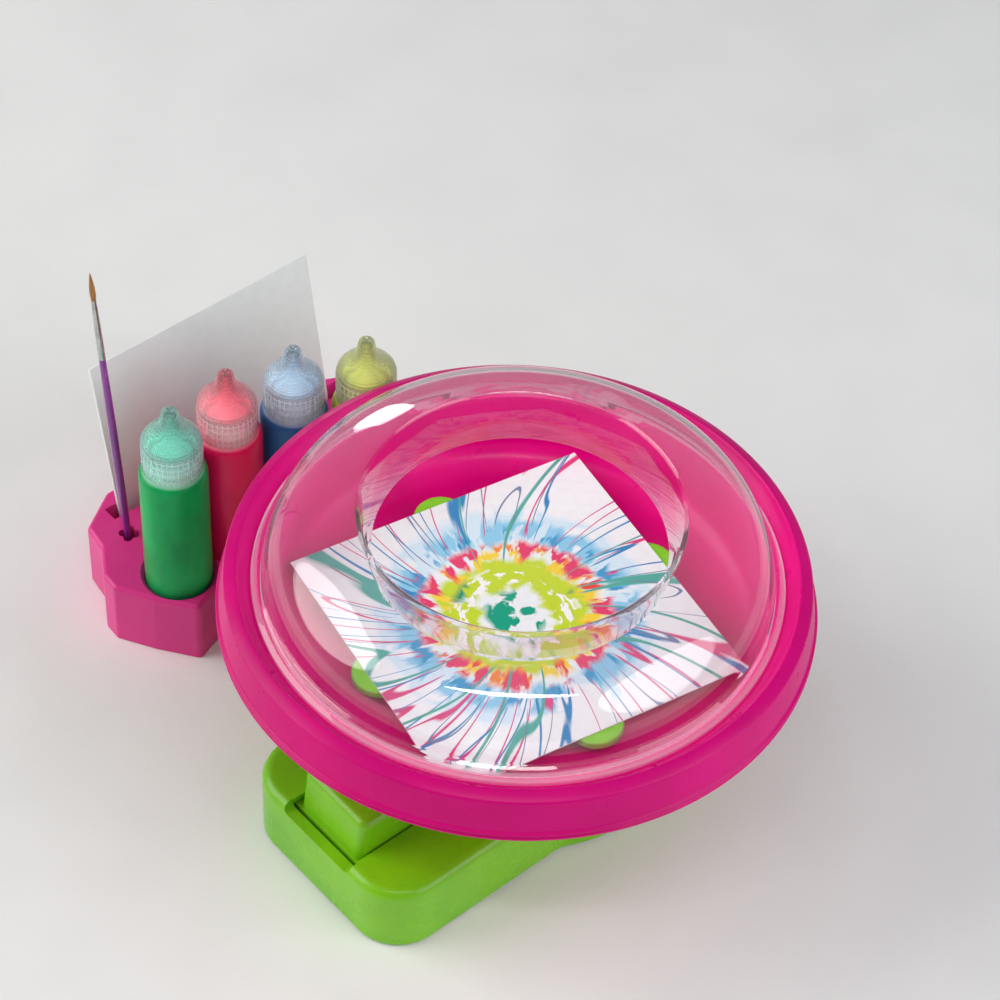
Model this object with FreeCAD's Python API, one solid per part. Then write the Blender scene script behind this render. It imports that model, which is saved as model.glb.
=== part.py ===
import FreeCAD, Part
from FreeCAD import Vector

import math
import os

# Spin art machine. Millimetres, +Z up. The origin lies on the table under the turntable's spindle.
# -Y is the lever end of the base, -X is the side where the paint rack stands.

# ---------------------------------------------------------------- driving dimensions
WALL = 2.2                   # moulded wall of base, lever, bowl and rack
PAD_H = 1.2                  # grip pads under the base
BASE_H = 28.2                # top of the low base box
BASE_HALF_W = 39.5
BASE_FRONT = -84.5           # face of the lever end
BASE_CORNER_R = 17.0
FOOT_R = 46.0                # round rear part of the base, and how far back its centre lies
FOOT_Y = 14.0
TOWER_R0 = 41.0              # tower under the bowl, bottom and top radius
TOWER_R1 = 38.0
FLOOR_Z = 68.4               # underside of the bowl on the tower
PLATE_T = 3.0                # bottom plate
TOP_ROUND = 3.6              # rounded top edge of the base
WAIST_R = 16.0               # hollow corners between the base box and the round foot

# fixings: the same pan-head screws join base, bowl and frame
SCREW_R = 1.25
SCREW_CLEAR_R = 1.6
SCREW_HEAD_R = 2.9
BOSS_R = 4.0
BASE_SCREWS = [(-27, -70), (27, -70), (-36.4, 21), (36.4, 21)]
FRAME_SCREW_R = 1.2
FRAME_SCREWS = [(7.0, -20.5), (7.0, 12.5), (33.2, -20.5), (33.2, 12.5)]
BOWL_SCREW_R = 24.0          # circle of the three screws that hold the bowl
BUSH_R = 5.0
BUSH_HOUSING_R = 8.0

LEVER_HALF_W = 15.8
LEVER_GAP = 0.8
LEVER_FRONT = -79.5
LEVER_TOP = 42.5
LEVER_LOW = 17.6             # lower edge of the lever's walls, inside the base
LEVER_BACK = -36.5
FLANGE_HALF_W = 18.4         # flange that keeps the lever from being pulled out
FLANGE_T = 2.2
RECESS_HALF_W = 17.0         # finger recess in front of the lever
RECESS_DEEP = 3.2
ARM_X = (22.0, 26.8)         # lever arm and toothed sector

LIP_Z = 85.0                 # lowest rim of the bowl's skirt
LIP_R = 98.0
LEDGE_Z = 102.0
SEAT_Z = 97.2                # where the cover's foot rests
SEAT_R = 87.2

COVER_T = 1.5
COVER_TOP = 129.6

TABLE_Z = 74.9               # underside of the turntable's plate
TABLE_T = 2.6
LOBE_R = 9.3                 # rounded end of each of the turntable's four arms
LOBE_REACH = 60.0
CARD = 110.0                 # side of the card on the turntable
CARD_T = 0.5
CARD_TURN = -11.0            # degrees

RACK_H = 27.0
ARC_C = (-41.0, -27.0)       # centre of the rack's hollow edge and of the arc of wells
ARC_R = 69.0
WELL_ARC_R = 84.5
WELL_R = 12.3
WELL_FLOOR = 5.0
CUP_WALL = 1.6               # wall of the wells and of the card slot
WELLS = {"green": 194.8, "pink": 177.4, "blue": 160.0, "yellow": 142.6}
BOTTLE_R = 12.0
BOTTLE_SHOULDER = 77.6
NECK_TOP = 91.0
CAP_R = 10.4
CAP_Z = 81.2
CAP_TIP = 107.0
NOZZLE_TIP = 103.6
SLOT_X = -160.5              # middle of the card slot at the rack's top
SLOT_W = 6.2
SLOT_Y = (-51.5, 55.5)
SLOT_FLOOR = 3.4
SPARE_W = 96.0               # spare cards: width, height and thickness of the whole stack
SPARE_H = 85.0
SPARE_T = 1.9
SPARE_Y = -47.0
LEAN = math.radians(10.9)    # slot and spare cards lean back
BRUSH_FOOT = Vector(-148.6, -51.0, 5.0)
BRUSH_TIP = Vector(-151.2, -57.2, 153.5)
FERRULE_L = 27.0
BRISTLES_L = 12.0

# gear train, y and z of each axis that lies along X
AXLE_A = (-14.4, 26.8)       # input pinion and drive gear
AXLE_B = (0.0, 46.0)         # crown gear
PIVOT = (8.156, 10.0)        # lever
MOD = 1.0
MOD_LEVER = 1.25
SECTOR_TEETH = 35
INPUT_TEETH = 10
DRIVE_TEETH = 36
CROWN_PINION_TEETH = 12
CROWN_TEETH = 30
SPINDLE_TEETH = 10
BACKLASH = 0.3
PRESSURE = math.radians(20)
AXLE_R = 1.5
SPINDLE_R = 2.5
SPINDLE_PINION = (57.2, 64.0)
BUSH_Z = 64.5                # lower end of the upper bush
PIVOT_R = 2.0
FIT = 0.05                   # radial running clearance
FRAME_IN = (10.0, 12.0)      # x range of the inner plate
FRAME_OUT = (28.2, 30.2)
SPACERS = [(-11.5, 50.5), (13.8, 5.9)]
SPRING_AT = (0.0, -62.0)
SPRING_R = 5.0
SPRING_WIRE = 0.7

X = Vector(1, 0, 0)
Y = Vector(0, 1, 0)
Z = Vector(0, 0, 1)
os.makedirs("parts", exist_ok=True)


# ---------------------------------------------------------------- helpers
def save(name, shape):
    shape.exportStep(f"parts/{name}.step")


def box(x, y, z):
    return Part.makeBox(x[1] - x[0], y[1] - y[0], z[1] - z[0], Vector(x[0], y[0], z[0]))


def rod(r, start, end):
    start, end = Vector(*start), Vector(*end)
    return Part.makeCylinder(r, (end - start).Length, start, end - start)


def tube(r_out, r_in, start, end):
    return rod(r_out, start, end).cut(rod(r_in, start, end))


def face_of(points):
    return Part.Face(Part.makePolygon([*points, points[0]]))


def prism_z(points, z0, z1):
    return face_of([Vector(a, b, z0) for a, b in points]).extrude(Z * (z1 - z0))


def prism_x(points, x0, x1):
    return face_of([Vector(x0, a, b) for a, b in points]).extrude(X * (x1 - x0))


def lathe(points):
    """Solid turned about Z from (radius, height) points."""
    return face_of([Vector(r, 0, z) for r, z in points]).revolve(Vector(), Z, 360)


def edges_where(shape, test):
    return [e for e in shape.Edges if test(e)]


def is_upright(edge):
    a, b = edge.Vertexes[0].Point, edge.Vertexes[-1].Point
    return abs(a.x - b.x) < 1e-6 and abs(a.y - b.y) < 1e-6 and abs(a.z - b.z) > 1


def is_along_y(edge):
    b = edge.BoundBox
    return b.YLength > 1 and b.XLength < 1e-6 and b.ZLength < 1e-6


def at_height(edge, z):
    box_ = edge.BoundBox
    return abs(box_.ZMin - z) < 1e-4 and abs(box_.ZMax - z) < 1e-4


def polar(r, degrees, centre=(0.0, 0.0)):
    a = math.radians(degrees)
    return centre[0] + r * math.cos(a), centre[1] + r * math.sin(a)


def involute(a):
    return math.tan(a) - a


def gear_points(module, teeth, phase, centre=(0.0, 0.0)):
    """Outline of a spur gear with one tooth centred on the angle phase, in degrees."""
    pitch_r = module * teeth / 2
    base_r = pitch_r * math.cos(PRESSURE)
    tip_r = pitch_r + 0.85 * module
    root_r = pitch_r - 1.15 * module
    half = (math.pi * module / 2 - BACKLASH) / (2 * pitch_r) + involute(PRESSURE)
    points = []
    for i in range(teeth):
        middle = math.radians(phase) + 2 * math.pi * i / teeth
        flank = []
        for k in range(5):
            r = max(base_r, root_r) + (tip_r - max(base_r, root_r)) * k / 4
            flank.append((r, half - involute(math.acos(min(1.0, base_r / r)))))
        side = [(root_r, flank[0][1] + 0.02)] + flank
        for r, a in side:
            points.append((r, middle - a))
        for r, a in reversed(side):
            points.append((r, middle + a))
    return [(centre[0] + r * math.cos(a), centre[1] + r * math.sin(a)) for r, a in points]


def screw(head_r, head_h, shank_r, x, y, z_head, z_end):
    """Pan-head screw with a cross recess, its head's underside at z_head, driven along Z."""
    way = 1 if z_end < z_head else -1
    head = rod(head_r, (x, y, z_head), (x, y, z_head + way * head_h))
    shank = rod(shank_r, (x, y, z_head), (x, y, z_end))
    top = z_head + way * head_h
    z_pair = sorted((top, top - way * head_h * 0.5))
    for half_x, half_y in ((0.3, head_r * 0.6), (head_r * 0.6, 0.3)):
        head = head.cut(box((x - half_x, x + half_x), (y - half_y, y + half_y), z_pair))
    return head.fuse(shank).removeSplitter()


# ---------------------------------------------------------------- base
def base_block(inset, z0, z1, top_round):
    """Front box and round foot as one block, offset inwards by inset."""
    half = BASE_HALF_W - inset
    front = BASE_FRONT + inset
    foot_r = FOOT_R - inset
    foot = rod(foot_r, (0, FOOT_Y, z0), (0, FOOT_Y, z1))
    block = box((-half, half), (front, FOOT_Y), (z0, z1)).fuse(foot)
    block = block.removeSplitter()
    corners = edges_where(block, lambda e: is_upright(e) and abs(e.BoundBox.YMin - front) < 1e-3)
    block = block.makeFillet(BASE_CORNER_R - inset, corners)
    inner = edges_where(block, lambda e: is_upright(e) and abs(abs(e.BoundBox.XMin) - half) < 1e-3
                        and -30 < e.BoundBox.YMin < FOOT_Y - 5)
    block = block.makeFillet(WAIST_R + inset, inner)
    if top_round:
        block = block.makeFillet(top_round, edges_where(block, lambda e: at_height(e, z1)))
    return block


def tower(inset, z0, z1):
    slope = (TOWER_R0 - TOWER_R1) / (FLOOR_Z - BASE_H)
    r0 = TOWER_R0 - inset - slope * (z0 - BASE_H)
    r1 = TOWER_R0 - inset - slope * (z1 - BASE_H)
    return Part.makeCone(r0, r1, z1 - z0, Vector(0, 0, z0))


def bowl_screw_points():
    return [polar(BOWL_SCREW_R, a) for a in (90, 210, 330)]


def cut_lever_slot(shell):
    """Slot for the lever, running on into the tower's front, and the finger recess before it."""
    side = LEVER_HALF_W + LEVER_GAP
    slot_z = (BASE_H - WALL - 3, LEVER_TOP + 1.2)
    shell = shell.cut(box((-side, side), (LEVER_FRONT - 1.0, -30), slot_z))
    recess = box((-RECESS_HALF_W, RECESS_HALF_W), (BASE_FRONT - 5, LEVER_FRONT - 0.9),
                 (BASE_H - RECESS_DEEP, BASE_H + 5))
    bottom = edges_where(recess, lambda e: is_along_y(e) and e.BoundBox.ZMin < BASE_H)
    recess = recess.makeFillet(2.5, bottom)
    floor = box((-RECESS_HALF_W - 2, RECESS_HALF_W + 2), (BASE_FRONT + 1, LEVER_FRONT - 1.0),
                (BASE_H - RECESS_DEEP - WALL, BASE_H - 1))
    floor = floor.common(base_block(0.5, PAD_H, BASE_H, TOP_ROUND - 0.4))
    return shell.fuse(floor).cut(recess)


def make_base_shell():
    shell = base_block(0, PAD_H, BASE_H, TOP_ROUND).fuse(tower(0, BASE_H - TOP_ROUND, FLOOR_Z))
    hollow = base_block(WALL, PAD_H - 1, BASE_H - WALL, 0)
    hollow = hollow.fuse(tower(WALL, BASE_H - WALL - 0.5, FLOOR_Z - WALL))
    shell = shell.cut(hollow)
    for x, y in BASE_SCREWS:
        shell = shell.fuse(rod(BOSS_R, (x, y, PAD_H + PLATE_T), (x, y, BASE_H - 1)))
    for x, y in bowl_screw_points():
        shell = shell.fuse(rod(BOSS_R, (x, y, FLOOR_Z - 12), (x, y, FLOOR_Z - 1)))
    shell = shell.fuse(rod(BUSH_HOUSING_R, (0, 0, BUSH_Z), (0, 0, FLOOR_Z - 1)))
    shell = shell.cut(rod(BUSH_R, (0, 0, BUSH_Z - 1), (0, 0, FLOOR_Z + 1)))
    shell = cut_lever_slot(shell)
    for x, y in BASE_SCREWS:
        shell = shell.cut(rod(SCREW_R, (x, y, PAD_H), (x, y, 16)))
    for x, y in bowl_screw_points():
        shell = shell.cut(rod(SCREW_R, (x, y, FLOOR_Z - 11), (x, y, FLOOR_Z + 1)))
    return shell.removeSplitter()


def make_base_bottom():
    plate = base_block(WALL + 0.15, PAD_H, PAD_H + PLATE_T, 0)
    top = PAD_H + PLATE_T
    plate = plate.fuse(rod(7.0, (0, 0, top - 1), (0, 0, 11)))
    plate = plate.cut(rod(4.5, (0, 0, top + 1.0), (0, 0, 12)))
    plate = plate.fuse(rod(3.6, (*SPRING_AT, top - 1), (*SPRING_AT, top + 6)))
    for x, y in BASE_SCREWS:
        plate = plate.cut(rod(SCREW_CLEAR_R, (x, y, 0), (x, y, 8)))
        plate = plate.cut(rod(3.2, (x, y, 0), (x, y, PAD_H + 1.6)))
    for x, y in FRAME_SCREWS:
        plate = plate.cut(rod(FRAME_SCREW_R, (x, y, PAD_H + 0.8), (x, y, 8)))
    return plate.removeSplitter()


def make_grip_pads():
    strips = [((-22, 22), (-80, -74)), ((-19, 19), (45, 51)), ((-15, 15), (-6, 6))]
    pads = []
    for x, y in strips:
        pad = box(x, y, (0, PAD_H))
        pads.append(pad.makeFillet(2.4, edges_where(pad, is_upright)))
    return Part.makeCompound(pads)


def make_base():
    save("base_shell", make_base_shell())
    save("base_bottom", make_base_bottom())
    save("grip_pads", make_grip_pads())
    screws = [screw(SCREW_HEAD_R, 1.5, SCREW_R, x, y, PAD_H + 1.6, 14) for x, y in BASE_SCREWS]
    save("base_screws", Part.makeCompound(screws))


# ---------------------------------------------------------------- gear frame and its fixings
def make_frame_plate(x_range, foot_x):
    outline = [(-24, 4.2), (16, 4.2), (16, 17), (7, 50), (2, 53.5), (-14, 53.5), (-19, 38), (-20.5, 23),
               (-24, 18)]
    plate = prism_x(outline, *x_range)
    for y in ((-24, -17), (9, 16)):
        plate = plate.fuse(box(foot_x, y, (4.2, 6.2)))
    for y, z in (AXLE_A, PIVOT):
        r = AXLE_R if (y, z) == AXLE_A else PIVOT_R
        plate = plate.cut(rod(r, (x_range[0] - 1, y, z), (x_range[1] + 1, y, z)))
    plate = plate.cut(rod(AXLE_R + FIT, (x_range[0] - 1, *AXLE_B), (x_range[1] + 1, *AXLE_B)))
    for x, y in FRAME_SCREWS:
        plate = plate.cut(rod(1.3, (x, y, 4), (x, y, 7)))
    return plate.removeSplitter()


def make_gear_frame():
    save("gear_frame_inner", make_frame_plate(FRAME_IN, (4.0, FRAME_IN[1])))
    save("gear_frame_outer", make_frame_plate(FRAME_OUT, (FRAME_OUT[0], 36.0)))
    posts = [rod(1.4, (FRAME_IN[1], y, z), (FRAME_OUT[0], y, z)) for y, z in SPACERS]
    save("frame_spacers", Part.makeCompound(posts))
    screws = [screw(2.4, 1.4, FRAME_SCREW_R, x, y, 6.2, PAD_H + 0.9) for x, y in FRAME_SCREWS]
    save("frame_screws", Part.makeCompound(screws))
    save("gear_axle", rod(AXLE_R, (FRAME_IN[0] - 0.6, *AXLE_A), (FRAME_OUT[1] + 0.6, *AXLE_A)))
    save("lever_pivot_pin", rod(PIVOT_R, (FRAME_IN[0] - 0.6, *PIVOT), (FRAME_OUT[1] + 0.6, *PIVOT)))


# ---------------------------------------------------------------- lever
def mesh_angle(a, b):
    return math.degrees(math.atan2(b[1] - a[1], b[0] - a[0]))


def make_press_lever():
    side = [(LEVER_FRONT, LEVER_LOW), (LEVER_FRONT + 3.0, LEVER_TOP),
            (LEVER_BACK, LEVER_TOP), (LEVER_BACK, LEVER_LOW)]
    block = prism_x(side, -LEVER_HALF_W, LEVER_HALF_W)
    block = block.makeFillet(3.4, edges_where(block, lambda e: e.BoundBox.ZLength > 5
                                              and e.BoundBox.YMax < LEVER_FRONT + 5))
    block = block.makeFillet(3.0, edges_where(block, lambda e: at_height(e, LEVER_TOP)
                                              and e.BoundBox.YMin < LEVER_BACK - 1))
    flange_top = BASE_H - WALL - 0.9
    flange = box((-FLANGE_HALF_W, FLANGE_HALF_W), (LEVER_FRONT + 0.2, LEVER_BACK),
                 (flange_top - FLANGE_T, flange_top))
    inner = [(LEVER_FRONT + 1.2, 10), (LEVER_FRONT + 4.9, LEVER_TOP - WALL),
             (LEVER_BACK - WALL, LEVER_TOP - WALL), (LEVER_BACK - WALL, 10)]
    lever = block.fuse(flange).cut(prism_x(inner, WALL - LEVER_HALF_W, LEVER_HALF_W - WALL))
    web = box((-12, ARM_X[1]), (LEVER_BACK - 4, LEVER_BACK), (13.0, 21.6))
    py, pz = PIVOT
    arm_side = [(LEVER_BACK - 4, 13.0), (LEVER_BACK - 4, 21.6), (LEVER_BACK, 21.6), (-32, 17.6), (-16, 17.6),
                (py, pz + 4.4), (py, pz - 4.4)]
    arm = prism_x(arm_side, *ARM_X)
    hub = rod(4.6, (12.6, *PIVOT), (27.8, *PIVOT))
    middle = mesh_angle(PIVOT, AXLE_A)
    ring = prism_x(gear_points(MOD_LEVER, SECTOR_TEETH, middle, PIVOT), *ARM_X)
    wedge = prism_x([PIVOT, polar(40, middle - 23, PIVOT), polar(40, middle + 13, PIVOT)], 21, 28)
    lever = lever.fuse([web, arm, hub, ring.common(wedge)])
    lever = lever.cut(rod(PIVOT_R + FIT, (10, *PIVOT), (30, *PIVOT)))
    return lever.removeSplitter()


def make_return_spring():
    z0 = PAD_H + PLATE_T + SPRING_WIRE
    z1 = LEVER_TOP - WALL - SPRING_WIRE - 0.2
    turns = 7
    path = Part.makeHelix((z1 - z0) / turns, z1 - z0, SPRING_R)
    wire = Part.Wire([Part.makeCircle(SPRING_WIRE, Vector(SPRING_R, 0, 0), Y)])
    coil = Part.Wire(path).makePipeShell([wire], True, True)
    return coil.translated(Vector(*SPRING_AT, z0))


def make_lever():
    save("press_lever", make_press_lever())
    save("return_spring", make_return_spring())


# ---------------------------------------------------------------- gears
def gear_x(module, teeth, phase, axis, x_range, bore):
    gear = prism_x(gear_points(module, teeth, phase, axis), *x_range)
    return gear.cut(rod(bore, (x_range[0] - 1, *axis), (x_range[1] + 1, *axis)))


def ratchet_points(teeth, r_tip, r_root, axis):
    points = []
    for i in range(teeth):
        points.append(polar(r_root, 360 * i / teeth, axis))
        points.append(polar(r_tip, 360 * (i + 0.92) / teeth, axis))
    return points


def make_input():
    phase = mesh_angle(AXLE_A, PIVOT) + 180 / INPUT_TEETH
    pinion = gear_x(MOD_LEVER, INPUT_TEETH, phase, AXLE_A, (21.4, 27.6), AXLE_R + FIT)
    carrier = tube(11.2, AXLE_R + FIT, (20.0, *AXLE_A), (21.4, *AXLE_A))
    save("input_pinion", pinion.fuse(carrier).removeSplitter())
    pawls = []
    for start in (20.0, 200.0):
        arc = [polar(10.9, start + 8 * i, AXLE_A) for i in range(9)]
        back = [polar(9.7 - 0.5 * (i == 8), start + 8 * i, AXLE_A) for i in range(9)]
        pawls.append(prism_x(arc + back[::-1], 17.9, 20.0))
    save("clutch_pawls", Part.makeCompound(pawls))


def make_drive():
    gear = gear_x(MOD, DRIVE_TEETH, mesh_angle(AXLE_A, AXLE_B), AXLE_A, (13.4, 17.4), AXLE_R + FIT)
    for i in range(5):
        y, z = polar(11.5, 72 * i, AXLE_A)
        gear = gear.cut(rod(3.4, (13, y, z), (18, y, z)))
    save("drive_gear", gear)
    wheel = prism_x(ratchet_points(12, 8.4, 6.8, AXLE_A), 17.4, 19.6)
    save("ratchet_wheel", wheel.cut(rod(AXLE_R + FIT, (17, *AXLE_A), (20, *AXLE_A))))


def make_crown():
    pitch_r = MOD * CROWN_TEETH / 2
    pitch_x = MOD * SPINDLE_TEETH / 2
    root_x = pitch_x + 1.15 * MOD
    tip_x = pitch_x - 0.85 * MOD
    disc = tube(17.2, AXLE_R, (root_x, *AXLE_B), (8.6, *AXLE_B))
    disc = disc.fuse(tube(4.0, AXLE_R, (8.6, *AXLE_B), (9.7, *AXLE_B)))
    half = (math.pi * MOD / 2 - BACKLASH) / 2
    slope = math.tan(PRESSURE)
    teeth = []
    for i in range(CROWN_TEETH):
        angle = 90 + 180 / CROWN_TEETH + 360 * i / CROWN_TEETH
        sections = []
        for r in (13.3, 16.7):
            wide = r / pitch_r
            at_tip = (half - slope * 0.85 * MOD) * wide
            at_root = (half + slope * 1.15 * MOD) * wide
            corners = [Vector(tip_x, -at_tip, r), Vector(tip_x, at_tip, r),
                       Vector(root_x + 0.4, at_root, r), Vector(root_x + 0.4, -at_root, r)]
            sections.append(Part.makePolygon([*corners, corners[0]]))
        tooth = Part.makeLoft(sections, True, True)
        tooth.rotate(Vector(), X, angle - 90)
        teeth.append(tooth.translated(Vector(0, *AXLE_B)))
    save("crown_gear", disc.fuse(teeth).removeSplitter())
    phase = mesh_angle(AXLE_B, AXLE_A) + 180 / CROWN_PINION_TEETH
    save("crown_pinion", gear_x(MOD, CROWN_PINION_TEETH, phase, AXLE_B, (13.0, 18.2), AXLE_R))
    save("crown_shaft", rod(AXLE_R, (root_x, *AXLE_B), (FRAME_OUT[1] + 0.8, *AXLE_B)))


# ---------------------------------------------------------------- turntable
def make_turntable_plate():
    plate = rod(33.0, (0, 0, TABLE_Z), (0, 0, TABLE_Z + TABLE_T))
    for i in range(4):
        angle = CARD_TURN + 90 * i
        x, y = polar(LOBE_REACH - LOBE_R, angle)
        lobe = rod(LOBE_R, (x, y, TABLE_Z), (x, y, TABLE_Z + TABLE_T))
        arm = box((20, LOBE_REACH - LOBE_R), (-LOBE_R, LOBE_R), (TABLE_Z, TABLE_Z + TABLE_T))
        arm.rotate(Vector(), Z, angle)
        plate = plate.fuse([lobe, arm])
    plate = plate.removeSplitter()
    plate = plate.makeFillet(0.9, edges_where(plate, lambda e: at_height(e, TABLE_Z + TABLE_T)))
    hub = rod(7.4, (0, 0, TABLE_Z - 3.8), (0, 0, TABLE_Z + 0.5))
    drip = tube(15.0, 13.4, (0, 0, TABLE_Z - 2.6), (0, 0, TABLE_Z + 0.5))
    plate = plate.fuse([hub, drip])
    plate = plate.cut(rod(SPINDLE_R, (0, 0, TABLE_Z - 5), (0, 0, TABLE_Z + 0.6)))
    plate = plate.cut(rod(1.3, (0, 0, TABLE_Z), (0, 0, TABLE_Z + 4)))
    return plate.cut(rod(3.4, (0, 0, TABLE_Z + 1.2), (0, 0, TABLE_Z + 4))).removeSplitter()


def make_turntable():
    save("turntable", make_turntable_plate())
    spindle = rod(SPINDLE_R, (0, 0, 5.4), (0, 0, TABLE_Z + 0.6))
    save("spindle", spindle.cut(rod(1.2, (0, 0, TABLE_Z - 7), (0, 0, TABLE_Z + 1))))
    pinion = prism_z(gear_points(MOD, SPINDLE_TEETH, 0), *SPINDLE_PINION)
    save("spindle_pinion", pinion.cut(rod(SPINDLE_R, (0, 0, BUSH_Z - 10), (0, 0, BUSH_Z))))
    save("hub_screw", screw(3.1, 1.2, 1.2, 0, 0, TABLE_Z + 1.2, TABLE_Z - 6.5))
    top = TABLE_Z + TABLE_T
    card = box((-CARD / 2, CARD / 2), (-CARD / 2, CARD / 2), (top, top + CARD_T))
    card.rotate(Vector(), Z, CARD_TURN)
    save("art_card", card)
    save("lower_bush", tube(4.5, SPINDLE_R + FIT, (0, 0, 5.2), (0, 0, 11)))
    bore = SPINDLE_R + FIT
    upper = tube(BUSH_R, bore, (0, 0, BUSH_Z), (0, 0, FLOOR_Z))
    upper = upper.fuse(tube(6.6, bore, (0, 0, FLOOR_Z), (0, 0, FLOOR_Z + 1)))
    upper = upper.fuse(tube(4.4, bore, (0, 0, FLOOR_Z + 1), (0, 0, TABLE_Z - 4.1)))
    save("upper_bush", upper.removeSplitter())


# ---------------------------------------------------------------- bowl and cover
def make_bowl():
    top = FLOOR_Z + WALL
    collar = FLOOR_Z + 4.9
    underside = [(9.4, FLOOR_Z), (68, FLOOR_Z), (76.5, FLOOR_Z + 1.6), (81.6, FLOOR_Z + 6),
                 (83.2, FLOOR_Z + 12), (84.6, SEAT_Z - WALL), (88.0, SEAT_Z - WALL), (91.8, LEDGE_Z - 3.1),
                 (93.0, LEDGE_Z - 4.1), (94.9, 88.2), (95.6, LIP_Z)]
    skirt = [(LIP_R, LIP_Z), (LIP_R, LIP_Z + 0.9), (LIP_R - 0.8, LIP_Z + 1.4), (LIP_R, LIP_Z + 1.9),
             (LIP_R, LIP_Z + 2.6), (LIP_R - 1.0, LIP_Z + 3.2), (95.4, LEDGE_Z - 2.6)]
    ledge = [(95.1, LEDGE_Z - 2.0), (94.6, LEDGE_Z - 1.7), (91.7, LEDGE_Z - 0.1), (91.2, LEDGE_Z),
             (90.6, LEDGE_Z - 0.8), (90.2, LEDGE_Z - 2.0), (SEAT_R, SEAT_Z), (82.3, SEAT_Z)]
    inside = [(81.0, FLOOR_Z + 12), (79.5, FLOOR_Z + 7), (75.2, FLOOR_Z + 3.6), (68, top), (11.6, top),
              (11.4, collar), (9.4, collar)]
    bowl = lathe(underside + skirt + ledge + inside)
    for x, y in bowl_screw_points():
        bowl = bowl.cut(rod(SCREW_CLEAR_R, (x, y, FLOOR_Z - 1), (x, y, top + 1)))
    save("catch_bowl", bowl)
    screws = [screw(3.0, 1.4, SCREW_R, x, y, top, FLOOR_Z - 10.5) for x, y in bowl_screw_points()]
    save("bowl_screws", Part.makeCompound(screws))


def make_cover():
    """Clear cover: foot ring, steep side, rounded shoulder, opening with a lip that turns down inside."""
    foot = SEAT_Z
    outer = [(86.4, foot), (86.4, foot + 1.6), (84.6, foot + 2.2), (84.2, foot + 4.6), (82.8, foot + 5.2),
             (81.6, 108.0), (79.0, 114.2), (74.6, 119.4), (68.5, 123.4), (61.0, 126.8), (56.0, 128.9),
             (54.2, COVER_TOP), (52.6, COVER_TOP), (51.4, 128.6), (47.6, 112.0)]
    inner = [(83.0, foot), (82.7, foot + 3.7), (81.3, foot + 4.2), (80.1, 107.6), (77.7, 113.5),
             (73.5, 118.2), (67.8, 122.0), (60.4, 125.3), (55.2, 127.5), (53.4, COVER_TOP - COVER_T),
             (52.9, COVER_TOP - 1.8), (49.2, 112.0)]
    save("splash_cover", lathe(outer + inner[::-1]))


# ---------------------------------------------------------------- rack and what it holds
def rack_outline(inset):
    """Plan of the rack: angled ends, straight back, hollow arc towards the machine."""
    cx, cy = ARC_C
    i = inset
    sides = [(-104.5 - i, -53.5 + i), (-118.0 - 0.2 * i, -63.3 + 1.1 * i), (-131.0, -71.0 + i),
             (-138.0 + 0.2 * i, -70.5 + i), (-149.6 + 0.4 * i, -63.2 + i), (-160.5 + 0.6 * i, -61.5 + i),
             (-170.4 + i, -46.0 + 0.5 * i), (-170.4 + i, 47.0 - 0.5 * i), (-163.0 + 0.6 * i, 62.5 - i),
             (-128.0, 62.5 - i), (-92.0 - 0.3 * i, 48.0 - i)]
    start = math.degrees(math.atan2(26 - cy, -84 - cx))
    end = math.degrees(math.atan2(-53.5 - cy, -104.5 - cx)) + 360
    arc = [polar(ARC_R + i, start + (end - start) * k / 12, ARC_C) for k in range(12)]
    return sides + arc


def slot_section(width, z0, z1):
    """Side view of the leaning card slot, as (x, z) points."""
    shift = (RACK_H - z0) * math.tan(LEAN)
    rise = (RACK_H - z1) * math.tan(LEAN)
    half = width / 2
    return [(SLOT_X + shift - half, z0), (SLOT_X + shift + half, z0),
            (SLOT_X + rise + half, z1), (SLOT_X + rise - half, z1)]


def prism_y(points, y0, y1):
    return face_of([Vector(a, y0, b) for a, b in points]).extrude(Y * (y1 - y0))


def well_centres():
    return {name: polar(WELL_ARC_R, angle, ARC_C) for name, angle in WELLS.items()}


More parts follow.
